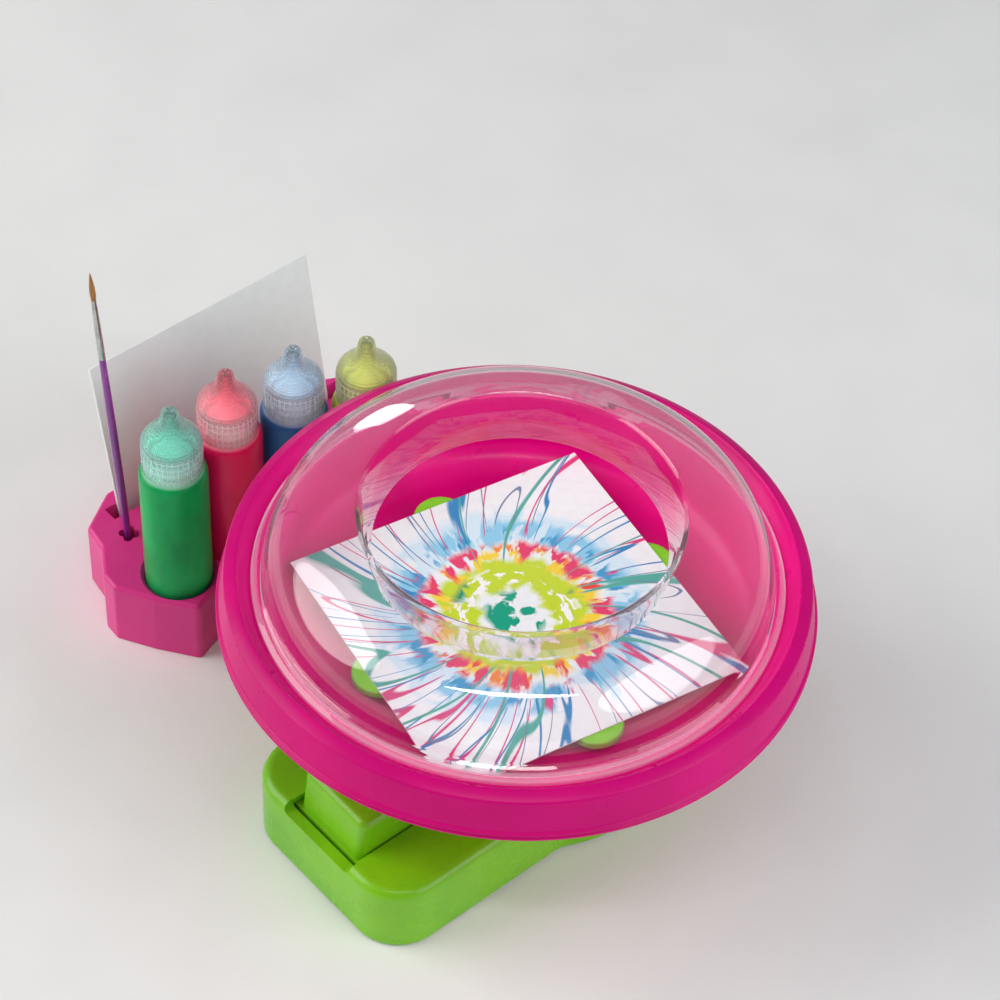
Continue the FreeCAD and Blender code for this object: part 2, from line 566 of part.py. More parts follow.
def make_rack():
    block = prism_z(rack_outline(0), 0, RACK_H)
    block = block.makeFillet(2.4, edges_where(block, lambda e: is_upright(e) and e.BoundBox.XMin < -104
                                              and e.Length > 1))
    block = block.makeFillet(1.8, edges_where(block, lambda e: at_height(e, RACK_H)))
    rack = block.cut(prism_z(rack_outline(WALL), -1, RACK_H - WALL))
    cups = []
    holes = []
    for x, y in well_centres().values():
        cups.append(rod(WELL_R + CUP_WALL, (x, y, WELL_FLOOR - CUP_WALL), (x, y, RACK_H - 1)))
        holes.append(rod(WELL_R, (x, y, WELL_FLOOR), (x, y, RACK_H + 1)))
        rim = Part.makeCone(WELL_R, WELL_R + 1.5, 1.5, Vector(x, y, RACK_H - 1.4))
        holes.append(rim)
    pocket = slot_section(SLOT_W + 2 * CUP_WALL, SLOT_FLOOR - CUP_WALL, RACK_H - 1)
    cups.append(prism_y(pocket, SLOT_Y[0] - CUP_WALL, SLOT_Y[1] + CUP_WALL))
    holes.append(prism_y(slot_section(SLOT_W, SLOT_FLOOR, RACK_H + 1), *SLOT_Y))
    bx, by = BRUSH_FOOT.x, BRUSH_FOOT.y
    cups.append(rod(5.2, (bx, by - 0.6, 3), (bx, by - 0.6, RACK_H - 1)))
    holes.append(rod(2.6, (bx, by - 0.5, 4.8), (bx, by - 0.5, RACK_H + 1)))
    for i in range(4):
        x, y = polar(2.1, 45 + 90 * i, (bx, by - 0.6))
        holes.append(rod(1.7, (x, y, RACK_H - 6), (x, y, RACK_H + 1)))
    inside = Part.makeCompound([c.common(block) for c in cups])
    save("paint_rack", rack.fuse(inside.Solids).cut(Part.makeCompound(holes)).removeSplitter())


def make_bottle(name, x, y):
    z = WELL_FLOOR
    r = BOTTLE_R
    neck = NECK_TOP
    shoulder = BOTTLE_SHOULDER
    body_outside = [(0, z), (r - 1.2, z), (r, z + 1.2), (r, shoulder), (r - 0.5, shoulder + 1.6),
                    (r - 1.7, CAP_Z - 0.8), (8.6, CAP_Z - 0.3), (8.6, neck)]
    body_inside = [(7.4, neck), (7.4, CAP_Z - 1.7), (r - 2.6, shoulder), (r - 1.1, shoulder - 2),
                   (r - 1.1, z + 1.4), (0, z + 1.4)]
    body = lathe(body_outside + body_inside)
    cone = [(0.8, neck - 2), (7.35, neck - 2), (7.35, neck), (8.4, neck), (8.4, neck + 1.2), (6.0, 94.4),
            (4.2, 96.4), (2.9, 98.6), (2.0, 101.0), (1.4, NOZZLE_TIP)]
    bore = [(0.6, NOZZLE_TIP), (0.7, 100.6), (1.7, 98.0), (3.0, 95.6), (5.0, neck + 1.4), (5.6, neck),
            (0.8, neck)]
    plug = lathe(cone + bore)
    cap_outside = [(CAP_R, CAP_Z), (CAP_R, 92.2), (10.0, 94.0), (9.0, 95.6), (7.6, 96.9), (5.4, 98.8),
                   (4.0, 101.0), (3.2, 103.4), (2.5, CAP_TIP - 0.6), (1.8, CAP_TIP), (0, CAP_TIP)]
    cap_inside = [(0, 105.2), (1.8, 104.8), (2.2, 103.0), (3.0, 100.4), (4.4, 98.2), (6.6, 96.3), (8.0, 95.0),
                  (9.0, 93.2), (9.2, 91.8), (9.2, CAP_Z)]
    cap = lathe(cap_outside + cap_inside)
    place = Vector(x, y, 0)
    save(f"bottle_{name}", body.translated(place))
    save(f"nozzle_{name}", plug.translated(place))
    save(f"cap_{name}", cap.translated(place))


def make_brush():
    axis = BRUSH_TIP - BRUSH_FOOT
    length = axis.Length
    turn = FreeCAD.Rotation(Z, axis)

    def along(profile):
        piece = lathe(profile)
        piece.Placement = FreeCAD.Placement(BRUSH_FOOT, turn)
        return piece

    low = length - BRISTLES_L - FERRULE_L
    high = length - BRISTLES_L
    handle = [(0, 0), (0.7, 0.3), (1.2, 12), (1.5, 45), (1.5, 75), (1.15, low), (0, low)]
    ferrule = [(0, low), (1.2, low), (1.25, low + 1), (1.1, low + 2), (1.2, low + 3), (0.9, high), (0, high)]
    bristles = [(0, high), (0.85, high), (1.05, high + 3), (0.7, high + 8), (0.1, length), (0, length)]
    save("brush_handle", along(handle))
    save("brush_ferrule", along(ferrule))
    save("brush_bristles", along(bristles))


def make_spare_cards():
    foot_z = SLOT_FLOOR + SPARE_T * math.sin(LEAN) + 0.05
    foot_x = SLOT_X + (RACK_H - foot_z) * math.tan(LEAN) - 0.6
    stack = box((foot_x - SPARE_T, foot_x), (SPARE_Y, SPARE_Y + SPARE_W), (foot_z, foot_z + SPARE_H))
    stack.rotate(Vector(foot_x, 0, foot_z), Y, -math.degrees(LEAN))
    save("spare_cards", stack)


make_base()
make_gear_frame()
make_lever()
make_input()
make_drive()
make_crown()
make_turntable()
make_bowl()
make_cover()
make_rack()
for bottle, (bottle_x, bottle_y) in well_centres().items():
    make_bottle(bottle, bottle_x, bottle_y)
make_brush()
make_spare_cards()
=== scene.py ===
"""Spin art machine: a press of the lever spins the card, and paint dropped on it is thrown outwards.

Sizes are in millimetres where no other unit is given.
"""

import math

import bpy
from mathutils import Matrix, Vector


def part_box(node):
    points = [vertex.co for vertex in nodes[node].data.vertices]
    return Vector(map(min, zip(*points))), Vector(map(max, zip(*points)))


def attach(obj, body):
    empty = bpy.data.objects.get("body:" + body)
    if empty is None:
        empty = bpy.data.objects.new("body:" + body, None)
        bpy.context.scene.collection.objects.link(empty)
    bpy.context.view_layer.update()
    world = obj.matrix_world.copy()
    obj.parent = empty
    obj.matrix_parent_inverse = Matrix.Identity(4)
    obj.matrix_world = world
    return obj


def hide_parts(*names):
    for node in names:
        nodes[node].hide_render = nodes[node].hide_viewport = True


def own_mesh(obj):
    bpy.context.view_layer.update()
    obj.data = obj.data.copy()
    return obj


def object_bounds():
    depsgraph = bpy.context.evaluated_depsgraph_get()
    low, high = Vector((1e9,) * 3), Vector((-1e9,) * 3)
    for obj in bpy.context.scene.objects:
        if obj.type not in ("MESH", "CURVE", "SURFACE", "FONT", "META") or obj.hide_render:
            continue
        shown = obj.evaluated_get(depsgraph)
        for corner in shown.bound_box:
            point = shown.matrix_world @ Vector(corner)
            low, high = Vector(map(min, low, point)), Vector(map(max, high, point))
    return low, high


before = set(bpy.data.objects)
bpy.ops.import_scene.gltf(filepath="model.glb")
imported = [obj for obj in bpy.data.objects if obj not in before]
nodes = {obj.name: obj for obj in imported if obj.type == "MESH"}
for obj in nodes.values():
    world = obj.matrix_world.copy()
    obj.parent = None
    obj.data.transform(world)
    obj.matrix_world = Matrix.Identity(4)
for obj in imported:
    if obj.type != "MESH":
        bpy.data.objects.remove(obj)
cad_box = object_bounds()

# ---------------------------------------------------------------- base
# The housing is one lime-green ABS moulding: a low box for the lever, a round foot, and the tower under the
# bowl. A bottom plate of the same plastic is screwed in from below, and rubber pads are glued to it.
LIME_LIT = "#86D010"
LIME_DEEP = "#72C018"
RUBBER_BLACK = "#26282A"
RUBBER_DUSTY = "#3A3C3E"
RUBBER_SPECK = 1.6           # mm
FLOW_CLOUD = 34.0            # mm, faint clouds in a moulding where the plastic flowed
HANDLED_PATCH = 9.0          # mm, patches that handling has dulled
MOULD_GRAIN = 0.5            # mm, drawn coarser than a real mould's polish so that it shows


def colour(code):
    """Linear RGBA of an sRGB hex value."""
    parts = [int(code[i:i + 2], 16) / 255 for i in (1, 3, 5)]
    return (*[p / 12.92 if p <= 0.04045 else ((p + 0.055) / 1.055) ** 2.4 for p in parts], 1.0)


def mm(*values):
    """Millimetres to Blender's metres."""
    return values[0] / 1000 if len(values) == 1 else tuple(v / 1000 for v in values)


def per_mm(size):
    """Texture scale that gives features of this many millimetres."""
    return 1000 / size


def add_node(material, kind, settings=None, links=None):
    """Adds a shader node: settings are properties, input values or a ramp's stops, links feed its inputs."""
    made = material.node_tree.nodes.new("ShaderNode" + kind)
    for name, value in (settings or {}).items():
        if name == "stops":
            ramp = made.color_ramp.elements
            ramp.remove(ramp[1])
            ramp[0].position, ramp[0].color = value[0]
            for place, stop_colour in value[1:]:
                ramp.new(place).color = stop_colour
        elif isinstance(name, str) and hasattr(made, name):
            setattr(made, name, value)
        else:
            made.inputs[name].default_value = value
    for name, source in (links or {}).items():
        material.node_tree.links.new(source, made.inputs[name])
    return made


def new_material(name, **inputs):
    """A material with one Principled shader whose plain inputs are set by name."""
    material = bpy.data.materials.new(name)
    material.use_nodes = True
    shader = material.node_tree.nodes["Principled BSDF"]
    for socket, value in inputs.items():
        shader.inputs[socket.replace("_", " ")].default_value = value
    return material, shader


def mottle(material, place, size, low, high, span=(0.35, 0.65), detail=3.0, squeeze=1.0):
    """Noise of this size in mm, drawn out in z by 1 / squeeze, and the blend of two colours that it gives."""
    if squeeze != 1.0:
        place = add_node(material, "Mapping", {"Scale": (1.0, 1.0, squeeze)},
                         {"Vector": place}).outputs["Vector"]
    noise = add_node(material, "TexNoise", {"Scale": per_mm(size), "Detail": detail},
                     {"Vector": place}).outputs["Fac"]
    blend = add_node(material, "ValToRGB", {"stops": [(span[0], colour(low)), (span[1], colour(high))]},
                     {"Fac": noise})
    return noise, blend.outputs["Color"]


def moulded_plastic(name, main, deep, gloss, grain=MOULD_GRAIN, shine=0.18, **inputs):
    """Injection-moulded plastic: even colour with faint flow clouds, a clear gloss and a very fine grain."""
    material, shader = new_material(name, Specular_IOR_Level=shine, **inputs)
    links = material.node_tree.links
    place = add_node(material, "TexCoord").outputs["Object"]
    tint = mottle(material, place, FLOW_CLOUD, deep, main)[1]
    links.new(tint, shader.inputs["Base Color"])
    handled = add_node(material, "TexNoise", {"Scale": per_mm(HANDLED_PATCH), "Detail": 4.0},
                       {"Vector": place})
    rough = add_node(material, "MapRange", {"To Min": gloss, "To Max": gloss + 0.1},
                     {"Value": handled.outputs["Fac"]})
    links.new(rough.outputs["Result"], shader.inputs["Roughness"])
    fine = add_node(material, "TexNoise", {"Scale": per_mm(grain), "Detail": 2.0}, {"Vector": place})
    bump = add_node(material, "Bump", {"Strength": 0.03, "Distance": mm(0.02)},
                    {"Height": fine.outputs["Fac"]})
    links.new(bump.outputs["Normal"], shader.inputs["Normal"])
    return material


def speckled(name, main, other, speck, **inputs):
    """A dull surface with specks of a second colour, each speck a little raised."""
    material, shader = new_material(name, **inputs)
    links = material.node_tree.links
    place = add_node(material, "TexCoord").outputs["Object"]
    specks, tint = mottle(material, place, speck, main, other, (0.4, 0.7), 4.0)
    links.new(tint, shader.inputs["Base Color"])
    bump = add_node(material, "Bump", {"Strength": 0.3, "Distance": mm(0.1)}, {"Height": specks})
    links.new(bump.outputs["Normal"], shader.inputs["Normal"])
    return material


def dress(material, *names):
    """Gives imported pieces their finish."""
    for name in names:
        for held in nodes[name].material_slots:
            held.material = material


lime_abs = moulded_plastic("lime_green_abs", LIME_LIT, LIME_DEEP, 0.22, shine=0.45, Subsurface_Weight=0.06,
                           Subsurface_Radius=(0.002, 0.004, 0.001))
rubber = speckled("moulded_rubber", RUBBER_BLACK, RUBBER_DUSTY, RUBBER_SPECK, Roughness=0.85)
dress(lime_abs, "base_shell", "base_bottom", "press_lever")
dress(rubber, "grip_pads")

# ---------------------------------------------------------------- gear frame, screws, axles and spring
# Two stamped steel plates stand on the bottom plate and carry the lever and the gears. Screws, spacers, pins
# and the return spring under the lever are zinc-plated or drawn steel; the spindle runs in brass bushes.
STEEL_BRIGHT = "#B9BCC0"
STEEL_DULL = "#8C9094"
BRASS_BRIGHT = "#D8B45C"
BRASS_DULL = "#A8853C"
DRAWN_OUT = 0.12             # width over length of the fine lines along drawn metal
SPRING_AT = (0.0, -62.0)
SPRING_RADIUS = 5.0
SPRING_WIRE = 0.7            # the wire's own radius
SPRING_LOW = 4.2
SPRING_HIGH = 40.1
SPRING_TURNS = 7
SPRING_STEPS = 40            # facets in each turn
WIRE_SIDES = 14


def drawn_metal(name, bright, dull, line, rough):
    """Plated or drawn metal: full reflections, drawn out by fine lines along the stock, with dull patches."""
    material, shader = new_material(name, Metallic=1.0)
    links = material.node_tree.links
    place = add_node(material, "TexCoord").outputs["Object"]
    lines, tint = mottle(material, place, line, dull, bright, (0.35, 0.6), squeeze=DRAWN_OUT)
    links.new(tint, shader.inputs["Base Color"])
    spread = add_node(material, "MapRange", {"To Min": rough - 0.06, "To Max": rough + 0.1},
                      {"Value": lines})
    links.new(spread.outputs["Result"], shader.inputs["Roughness"])
    return material


def fit(piece, material, body, slot, *replaced):
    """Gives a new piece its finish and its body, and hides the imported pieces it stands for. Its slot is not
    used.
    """
    piece.data.materials.append(material)
    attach(piece, body)
    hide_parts(*replaced)


def close_and_face(fill=True):
    """Closes open loops, by a lid on each or by a band between two, and turns all faces outwards."""
    bpy.ops.mesh.select_all(action="DESELECT")
    bpy.ops.mesh.select_non_manifold()
    if fill:
        bpy.ops.mesh.fill_holes(sides=0)
    else:
        bpy.ops.mesh.bridge_edge_loops()
    bpy.ops.mesh.select_all(action="SELECT")
    bpy.ops.mesh.normals_make_consistent(inside=False)
    bpy.ops.object.mode_set(mode="OBJECT")


def coil_spring(name):
    """A wire's end, screwed upwards round the spring's axis, with both ends closed."""
    bpy.ops.object.select_all(action="DESELECT")
    bpy.ops.mesh.primitive_circle_add(vertices=WIRE_SIDES, radius=mm(SPRING_WIRE),
                                      location=mm(SPRING_RADIUS, 0, 0), rotation=(math.pi / 2, 0, 0))
    spring = bpy.context.object
    spring.name = spring.data.name = name
    bpy.ops.object.transform_apply()
    coil = spring.modifiers.new("coil", "SCREW")
    coil.steps = coil.render_steps = SPRING_STEPS
    coil.iterations = SPRING_TURNS
    coil.screw_offset = mm((SPRING_HIGH - SPRING_LOW - 2 * SPRING_WIRE) / SPRING_TURNS)
    bpy.ops.object.modifier_apply(modifier="coil")
    bpy.ops.object.mode_set(mode="EDIT")
    close_and_face()
    spring.location = mm(*SPRING_AT, SPRING_LOW + SPRING_WIRE)
    bpy.ops.object.transform_apply(location=True)
    bpy.ops.object.shade_smooth_by_angle(angle=math.radians(50))
    return spring


steel = drawn_metal("zinc_plated_steel", STEEL_BRIGHT, STEEL_DULL, 0.8, 0.3)
brass = drawn_metal("turned_brass", BRASS_BRIGHT, BRASS_DULL, 0.6, 0.28)
dress(steel, "base_screws", "gear_frame_inner", "gear_frame_outer", "frame_spacers", "frame_screws",
      "gear_axle", "lever_pivot_pin", "bowl_screws", "spindle", "crown_shaft", "hub_screw")
dress(brass, "lower_bush", "upper_bush")
coil = coil_spring("lever_return_spring")
fit(coil, steel, "machine", "steel", "return_spring")
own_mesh(coil)

# ---------------------------------------------------------------- gears
# The gear train is moulded in natural acetal, a waxy off-white plastic that runs dry against steel. The
# grain of its moulds is a little coarser than that of the outer shells'.
ACETAL_LIGHT = "#EEEDE6"
ACETAL_WARM = "#E0DED2"
ACETAL_GRAIN = 0.8           # mm

acetal = moulded_plastic("natural_acetal", ACETAL_LIGHT, ACETAL_WARM, 0.38, ACETAL_GRAIN,
                         Subsurface_Weight=0.15, Subsurface_Radius=(0.001, 0.001, 0.001))
dress(acetal, "input_pinion", "clutch_pawls", "drive_gear", "ratchet_wheel", "crown_gear", "crown_pinion",
      "spindle_pinion")

# ---------------------------------------------------------------- turntable
# Four rounded arms of the same lime-green ABS as the base, pressed on the spindle and held by one screw.
# The card lies on their raised ends.
dress(lime_abs, "turntable")

# ---------------------------------------------------------------- catch bowl
# One magenta ABS moulding: a round pan with a steep wall, a seat for the cover, and an outer skirt that hangs
# over the base. It is turned here from its section, so that its rolled rim and stepped skirt run smoothly.
MAGENTA_LIT = "#E2007F"
MAGENTA_DEEP = "#D40076"
BOWL_SIDES = 192
BOWL_SECTION = [
    # underside, from the hub's hole out to the rim
    (9.4, 68.4), (68.0, 68.4), (73.2, 68.9), (76.5, 70.0), (79.6, 71.8), (81.6, 74.4), (82.7, 77.2),
    (83.2, 80.4), (84.6, 95.0), (88.0, 95.0), (91.8, 98.9),
    # skirt, down its inside, round its lip and up its outside to the rolled rim
    (93.0, 97.9), (94.9, 88.2), (95.6, 85.0), (98.0, 85.0), (98.0, 85.9), (97.2, 86.4), (98.0, 86.9),
    (98.0, 87.6), (97.0, 88.2), (95.4, 99.4), (95.1, 100.0), (94.6, 100.3), (91.7, 101.9), (91.2, 102.0),
    # seat of the cover, wall and floor of the pan, and its hub
    (90.6, 101.2), (90.2, 100.0), (87.2, 97.2), (82.3, 97.2), (81.0, 80.4), (80.5, 77.6), (79.5, 75.4),
    (77.6, 73.4), (75.2, 72.0), (72.0, 70.9), (68.0, 70.6), (11.6, 70.6), (11.4, 73.3), (9.4, 73.3)]
EDGE_FROM = math.radians(32)     # edges sharper than this are rounded
SMOOTH_TO = math.radians(38)     # faces that meet flatter than this look like one surface


def turned(name, section, sides, edge=0.25, capped=True):
    """Turns (radius, height) points about the upright axis, one ring each, and rounds the sharp edges."""
    bpy.ops.object.select_all(action="DESELECT")
    (radius, height), *others = section
    bpy.ops.mesh.primitive_circle_add(vertices=sides, radius=mm(radius), location=mm(0, 0, height))
    piece = bpy.context.object
    piece.name = piece.data.name = name
    bpy.ops.object.transform_apply(location=True)
    bpy.ops.object.mode_set(mode="EDIT")
    bpy.ops.mesh.select_all(action="SELECT")
    for next_radius, next_height in others:
        rise = mm(0, 0, next_height - height)
        bpy.ops.mesh.extrude_region_move(TRANSFORM_OT_translate={"value": rise})
        widen = next_radius / radius
        bpy.ops.transform.resize(value=(widen, widen, 1), center_override=mm(0, 0, next_height))
        radius, height = next_radius, next_height
    close_and_face(fill=capped)
    if edge:
        rounded = piece.modifiers.new("rounded", "BEVEL")
        rounded.width = mm(edge)
        rounded.segments = 2
        rounded.angle_limit = EDGE_FROM
        bpy.ops.object.modifier_apply(modifier="rounded")
    bpy.ops.object.shade_smooth_by_angle(angle=SMOOTH_TO)
    return piece


magenta_abs = moulded_plastic("magenta_abs", MAGENTA_LIT, MAGENTA_DEEP, 0.24, Subsurface_Weight=0.05,
                              Subsurface_Radius=(0.003, 0.0005, 0.0015))
bowl = turned("bowl", BOWL_SECTION, BOWL_SIDES, capped=False)
fit(bowl, magenta_abs, "machine", "magenta_plastic", "catch_bowl")

# ---------------------------------------------------------------- card on the turntable
# A square of white coated card. The paint dropped on it while it spun has been thrown out into rings, rays
# and threads. The painting is a chance one: noise drawn out along the swirl from the middle to the edges.
CARD_WHITE = "#EDF3F3"
CARD_SHADE = "#E8EEEE"
PAPER_FIBRE = 3.0            # mm
SWIRL = 5.0                  # radians that a thread turns per metre outwards
RAYS_AT_ONE = 6.0            # rays that noise of scale 1 lays round the card
PAINTS_APART = 7.3           # shift from one paint's noise to the next one's
RAGGED = 16.0                # mm, how far the ends of the rays wander
SOFT_END = 1.5               # mm, half the length over which a ray fades out
SOFT_SIDE = 0.015            # half the step of noise over which a blot fades out
PAINT_STANDS = 0.2           # mm
PAINTS = [
    # colour, inner and outer radius in mm, rays round the card, breaks per metre outwards, amount, thread
    ("#D3EAF4", 31, 47, 16, 30, 0.44, 0.0),
    ("#8CCBE6", 33, 43, 30, 50, 0.50, 0.0),
    ("#3C9CCB", 34, 40, 44, 60, 0.55, 0.0),
    ("#C3D92E", 12, 25, 12, 40, 0.28, 0.0),
    ("#F6F6F4", 15, 23, 16, 330, 0.57, 0.0),
    ("#F2D43A", 23, 30, 24, 60, 0.50, 0.0),
    ("#F08A3C", 25, 33, 26, 60, 0.56, 0.0),
    ("#E23A6A", 27, 34, 34, 70, 0.53, 0.0),
    ("#E8453A", 26, 34, 20, 50, 0.61, 0.0),
    ("#D6447F", 36, 80, 30, 9, 0.50, 0.013),
    ("#2C86BC", 34, 80, 34, 8, 0.50, 0.015),
    ("#4FA99A", 24, 80, 15, 7, 0.50, 0.012),
    ("#6E7FA0", 40, 80, 26, 12, 0.47, 0.008),
    ("#12A080", 2, 11, 4, 120, 0.50, 0.0),
    ("#0E8C6C", 8, 24, 9, 18, 0.64, 0.0),
]


def paint_mask(material, heading, radius, number, inner, outer, rays, breaks, amount, thread):
    """Where one paint lies: blots where its noise is over amount, or threads where it is close to amount."""
    around = add_node(material, "VectorMath", {"operation": "SCALE", "Scale": rays / RAYS_AT_ONE},
                      {0: heading})
    outwards = add_node(material, "Math", {"operation": "MULTIPLY_ADD", 1: breaks, 2: PAINTS_APART * number},
                        {0: radius})
    lift = add_node(material, "CombineXYZ", links={"Z": outwards.outputs["Value"]})
    spot = add_node(material, "VectorMath", {"operation": "ADD"},
                    {0: around.outputs["Vector"], 1: lift.outputs["Vector"]})
    run = add_node(material, "TexNoise", {"Scale": 1.0, "Detail": 0.5 if thread else 3.0},
                   {"Vector": spot.outputs["Vector"]}).outputs["Fac"]
    ragged = add_node(material, "Math", {"operation": "MULTIPLY_ADD", 1: mm(RAGGED), 2: -mm(RAGGED) / 2},
                      {0: run})
    reach = add_node(material, "Math", {"operation": "ADD"},
                     {0: radius, 1: ragged.outputs["Value"]}).outputs["Value"]
    side = (amount - SOFT_SIDE, amount + SOFT_SIDE)
    if thread:
        away = add_node(material, "Math", {"operation": "SUBTRACT", 1: amount}, {0: run})
        away = add_node(material, "Math", {"operation": "ABSOLUTE"}, {0: away.outputs["Value"]})
        run, side = away.outputs["Value"], (thread, thread * 0.5)
    start, stop, hit = [
        add_node(material, "MapRange", {"From Min": none, "From Max": full}, {"Value": at}).outputs["Result"]
        for at, none, full in ((reach, mm(inner - SOFT_END), mm(inner + SOFT_END)),
                               (reach, mm(outer + SOFT_END), mm(outer - SOFT_END)), (run, *side))]
    band = add_node(material, "Math", {"operation": "MULTIPLY"}, {0: start, 1: stop}).outputs["Value"]
    return add_node(material, "Math", {"operation": "MULTIPLY"}, {0: band, 1: hit}).outputs["Value"]


def painted_card(name):
    """Coated card, white and slightly shiny, with thick glossy acrylic paint standing on it where it ran."""
    material, shader = new_material(name)
    links = material.node_tree.links
    spot = add_node(material, "TexCoord")
    flat = add_node(material, "VectorMath", {"operation": "MULTIPLY", 1: (1.0, 1.0, 0.0)},
                    {0: spot.outputs["Object"]}).outputs["Vector"]
    radius = add_node(material, "VectorMath", {"operation": "LENGTH"}, {0: flat}).outputs["Value"]
    turn = add_node(material, "Math", {"operation": "MULTIPLY", 1: SWIRL}, {0: radius})
    swirled = add_node(material, "VectorRotate", {"Axis": (0, 0, 1)},
                       {"Vector": flat, "Angle": turn.outputs["Value"]})
    heading = add_node(material, "VectorMath", {"operation": "NORMALIZE"},
                       {0: swirled.outputs["Vector"]}).outputs["Vector"]
    paper = mottle(material, spot.outputs["Object"], PAPER_FIBRE, CARD_SHADE, CARD_WHITE, (0.3, 0.6), 5.0)[1]
    seen, cover = paper, None
    # the colours of a Mix node are its inputs 6 and 7 and its output 2
    for number, (paint, *spread) in enumerate(PAINTS):
        mask = paint_mask(material, heading, radius, number, *spread)
        seen = add_node(material, "Mix", {"data_type": "RGBA", 7: colour(paint)},
                        {0: mask, 6: seen}).outputs[2]
        cover = mask if cover is None else add_node(material, "Math", {"operation": "MAXIMUM"},
                                                    {0: cover, 1: mask}).outputs["Value"]
    facing = add_node(material, "SeparateXYZ", links={0: spot.outputs["Normal"]})
    upper = add_node(material, "Math", {"operation": "GREATER_THAN", 1: 0.5}, {0: facing.outputs["Z"]})
    shown = add_node(material, "Mix", {"data_type": "RGBA"}, {0: upper.outputs["Value"], 6: paper, 7: seen})
    links.new(shown.outputs[2], shader.inputs["Base Color"])
    wet = add_node(material, "MapRange", {"To Min": 0.55, "To Max": 0.22}, {"Value": cover})
    links.new(wet.outputs["Result"], shader.inputs["Roughness"])
    stand = add_node(material, "Bump", {"Strength": 0.4, "Distance": mm(PAINT_STANDS)}, {"Height": cover})
    links.new(stand.outputs["Normal"], shader.inputs["Normal"])
    return material


dress(painted_card("painted_card"), "art_card")

# ---------------------------------------------------------------- splash cover
# A clear polystyrene moulding that sits loose on the bowl: stepped foot, steep side, rounded shoulder, and a
# hole whose lip turns down inside, so that thrown paint runs back to the bowl.
CLEAR_TINT = "#FBF7FA"
CLEAR_SHADOW = "#FAF8FA"     # what the clear wall leaves of the light that falls through it
POLYSTYRENE_IOR = 1.55
COVER_HAZE = 0.006           # share of the light that the wall scatters, seen face on
COVER_EDGE_HAZE = 0.14       # and the same where it turns away
THIN_WALL_IOR = 1.04         # a thin wall hardly moves what lies behind it
MOULD_RIPPLE = 26.0          # mm
COVER_SIDES = 192
FOOT_TOP = 100.2
FOOT_FADE = 1.6              # height over which the painted light on the foot ring fades in
FOOT_PAINTED_WHITE = 0.4
COVER_SECTION = [
    # outside, from the foot up over the shoulder to the hole and down its lip
    (86.4, 97.2), (86.4, 98.8), (84.6, 99.4), (84.2, 101.8), (82.8, 102.4), (82.4, 105.0), (81.6, 108.0),
    (80.6, 111.2), (79.0, 114.2), (77.0, 117.0), (74.6, 119.4), (71.8, 121.6), (68.5, 123.4), (64.8, 125.3),
    (61.0, 126.8), (58.4, 128.0), (56.0, 128.9), (54.2, 129.6), (52.6, 129.6), (51.4, 128.6), (50.4, 124.0),
    (47.6, 112.0),
    # inside, from the lip's lower edge back to the foot
    (49.2, 112.0), (51.6, 122.0), (52.9, 127.6), (53.4, 128.0), (55.2, 127.5), (60.4, 125.3), (64.4, 123.8),
    (67.8, 122.0), (70.9, 120.4), (73.5, 118.2), (75.8, 116.1), (77.7, 113.5), (79.2, 110.7), (80.1, 107.6),
    (80.8, 104.6), (81.3, 101.4), (82.7, 100.9), (83.0, 97.2)]


def clear_plastic(name, tint, haze, edge_haze, gloss_ior, let_through, painted_light_and_lines=None):
    """Clear moulding: hardly bends what lies behind, mirrors the lamps, looks whiter where it turns away."""
    material, shader = new_material(name, IOR=THIN_WALL_IOR, Roughness=0.0, Coat_Weight=1.0,
                                    Coat_IOR=gloss_ior, Coat_Roughness=0.02)
    links = material.node_tree.links
    place = add_node(material, "TexCoord").outputs["Object"]
    ripple, shade = mottle(material, place, MOULD_RIPPLE, tint, "#FFFFFF", (0.5, 0.9), 1.0)
    links.new(shade, shader.inputs["Base Color"])
    turned_away = add_node(material, "LayerWeight", {"Blend": 0.5}).outputs["Facing"]
    milk = add_node(material, "MapRange", {"From Min": 0.55, "From Max": 1.0, "To Min": haze,
                                           "To Max": edge_haze}, {"Value": turned_away}).outputs["Result"]
    # an extra whitening mask: painted light on the cover's foot ring, and the rib and thread lines on the caps
    if painted_light_and_lines:
        milk = add_node(material, "Math", {"operation": "MAXIMUM"},
                        {0: milk, 1: painted_light_and_lines(material, place)}).outputs["Value"]
    clear = add_node(material, "Math", {"operation": "SUBTRACT", 0: 1.0}, {1: milk})
    links.new(clear.outputs["Value"], shader.inputs["Transmission Weight"])
    bump = add_node(material, "Bump", {"Strength": 0.1, "Distance": mm(0.2)}, {"Height": ripple})
    for socket in ("Normal", "Coat Normal"):
        links.new(bump.outputs["Normal"], shader.inputs[socket])
    ray = add_node(material, "LightPath")
    passing = add_node(material, "BsdfTransparent", {"Color": colour(let_through)})
    both = add_node(material, "MixShader", links={0: ray.outputs["Is Shadow Ray"], 1: shader.outputs["BSDF"],
                                                  2: passing.outputs["BSDF"]})
    links.new(both.outputs["Shader"], material.node_tree.nodes["Material Output"].inputs["Surface"])
    return material


def foot_ring_painted_light(material, place):
    """Where the cover looks whitest, as a mask: painted light for the light that the thick foot ring gathers.
    """
    height = add_node(material, "SeparateXYZ", links={0: place}).outputs["Z"]
    return add_node(material, "MapRange", {"From Min": mm(FOOT_TOP), "From Max": mm(FOOT_TOP - FOOT_FADE),
                                           "To Max": FOOT_PAINTED_WHITE}, {"Value": height}).outputs["Result"]


# the cover's foot ring is whitened by painted light, for the light that the thick ring gathers
clear_ps = clear_plastic("clear_polystyrene", CLEAR_TINT, COVER_HAZE, COVER_EDGE_HAZE, POLYSTYRENE_IOR,
                         CLEAR_SHADOW, foot_ring_painted_light)
cover = turned("clear_cover", COVER_SECTION, COVER_SIDES, edge=0.2, capped=False)
fit(cover, clear_ps, "cover", "clear_plastic", "splash_cover")
